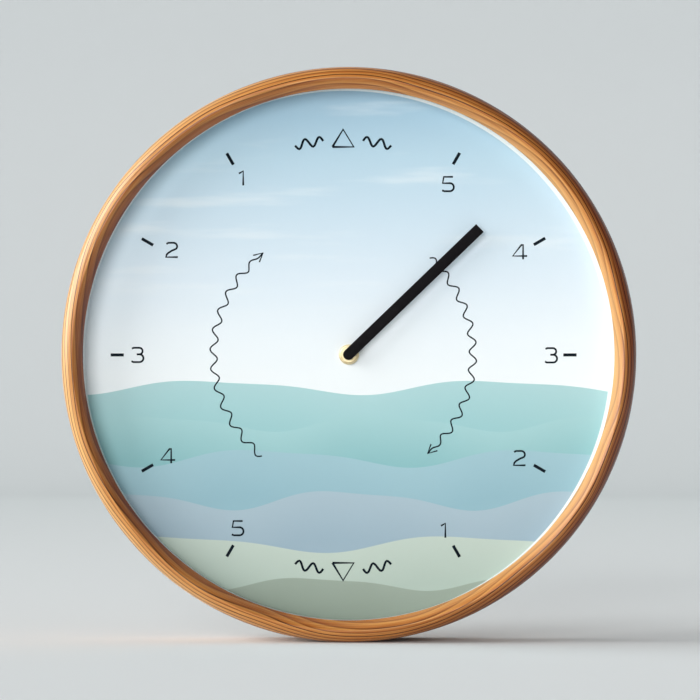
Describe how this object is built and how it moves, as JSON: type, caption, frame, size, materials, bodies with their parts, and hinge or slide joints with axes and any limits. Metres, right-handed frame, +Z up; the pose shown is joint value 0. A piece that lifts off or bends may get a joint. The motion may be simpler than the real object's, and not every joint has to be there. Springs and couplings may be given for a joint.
{
  "type": "tide clock",
  "caption": "Round tide clock: a wooden ring with glass, a printed sea dial and one bar hand, turned by a geared battery movement behind the dial, with a keyhole hanger for a wall.",
  "frame": {"origin": "on the hand's axis, halfway through the depth of the wooden ring", "axes": "+Y points from the dial to the wall, so the front faces -Y; +Z is up with the high-water mark at the top; +X is to the right of a person who reads the dial"},
  "size_m": [0.3, 0.0444, 0.3],
  "materials": {
    "wood": "clear satin lacquer over honey-brown timber",
    "lens_glass": "clear flat glass, polished",
    "white_card": "matt white card",
    "dial_print": "matt printed card in pale sea colours",
    "fibre_board": "plain brown fibre board",
    "black_hand": "flat black paint on aluminium",
    "brass": "turned brass",
    "steel": "zinc-plated steel strip",
    "spring_steel": "plain spring steel",
    "rubber": "soft black rubber",
    "housing_plastic": "fine-grained black moulding",
    "gear_acetal": "natural white acetal",
    "soft_iron": "stamped soft iron",
    "magnet": "dark sintered magnet",
    "copper_wire": "enamelled copper wire",
    "circuit_green": "green solder mask",
    "epoxy": "black epoxy",
    "cell_jacket": "plain lacquered jacket"
  },
  "bodies": {
    "case": {"case_ring": "wood", "lens": "lens_glass", "spacer_ring": "white_card", "dial": "dial_print", "dial_board": "fibre_board", "retaining_tabs": "steel", "bush_nut": "brass", "dial_washer": "brass", "bush_gasket": "rubber", "wall_hanger": "steel", "movement_base": "housing_plastic", "movement_cover": "housing_plastic", "threaded_bush": "brass", "stator": "soft_iron", "coil_core": "soft_iron", "coil_bobbin": "gear_acetal", "coil_winding": "copper_wire", "circuit_board": "circuit_green", "driver_chip": "epoxy", "quartz_crystal": "steel", "contact_positive": "spring_steel", "contact_negative": "spring_steel"},
    "hand": {"tide_hand": "black_hand", "hand_collet": "brass", "tide_wheel": "gear_acetal"},
    "setting": {"setting_arbor": "gear_acetal", "setting_knob": "housing_plastic"},
    "drive": {"drive_arbor": "gear_acetal", "clutch_spring": "spring_steel"},
    "clutch": {"clutch_wheel": "gear_acetal"},
    "third": {"third_wheel": "gear_acetal"},
    "second": {"second_wheel": "gear_acetal"},
    "first": {"first_wheel": "gear_acetal"},
    "rotor": {"rotor_pinion": "gear_acetal", "rotor_magnet": "magnet"},
    "battery": {"battery_cell": "cell_jacket"}
  },
  "joints": [
    {"name": "hand_turn", "type": "hinge", "parent": "case", "child": "hand", "pos_m": [0, 0, 0], "axis": [0, 1, 0], "continuous": true},
    {"name": "setting_turn", "type": "hinge", "parent": "case", "child": "setting", "pos_m": [-0.00823, 0, 0.00475], "axis": [0, 1, 0], "continuous": true},
    {"name": "drive_turn", "type": "hinge", "parent": "case", "child": "drive", "pos_m": [0.00737, 0, 0.00516], "axis": [0, 1, 0], "continuous": true},
    {"name": "rotor_turn", "type": "hinge", "parent": "case", "child": "rotor", "pos_m": [0.00029, 0, -0.00908], "axis": [0, 1, 0], "continuous": true},
    {"name": "first_turn", "type": "hinge", "parent": "case", "child": "first", "pos_m": [0.00789, 0, -0.00841], "axis": [0, 1, 0], "continuous": true},
    {"name": "second_turn", "type": "hinge", "parent": "case", "child": "second", "pos_m": [0.0161, 0, -0.00621], "axis": [0, 1, 0], "continuous": true},
    {"name": "third_turn", "type": "hinge", "parent": "case", "child": "third", "pos_m": [0.01536, 0, 0.00226], "axis": [0, 1, 0], "continuous": true},
    {"name": "clutch_turn", "type": "hinge", "parent": "case", "child": "clutch", "pos_m": [0.00737, 0, 0.00516], "axis": [0, 1, 0], "continuous": true},
    {"name": "battery_out", "type": "slide", "parent": "case", "child": "battery", "axis": [0, 1, 0], "range_m": [0, 0.02]}
  ],
  "couplings": [
    {"joint": "setting_turn", "follows": "hand_turn", "ratio": -5.3333},
    {"joint": "drive_turn", "follows": "hand_turn", "ratio": -8},
    {"joint": "first_turn", "follows": "rotor_turn", "ratio": -0.15094},
    {"joint": "second_turn", "follows": "rotor_turn", "ratio": 0.020126},
    {"joint": "third_turn", "follows": "rotor_turn", "ratio": -0.0026834},
    {"joint": "clutch_turn", "follows": "rotor_turn", "ratio": 0.00035779}
  ]
}
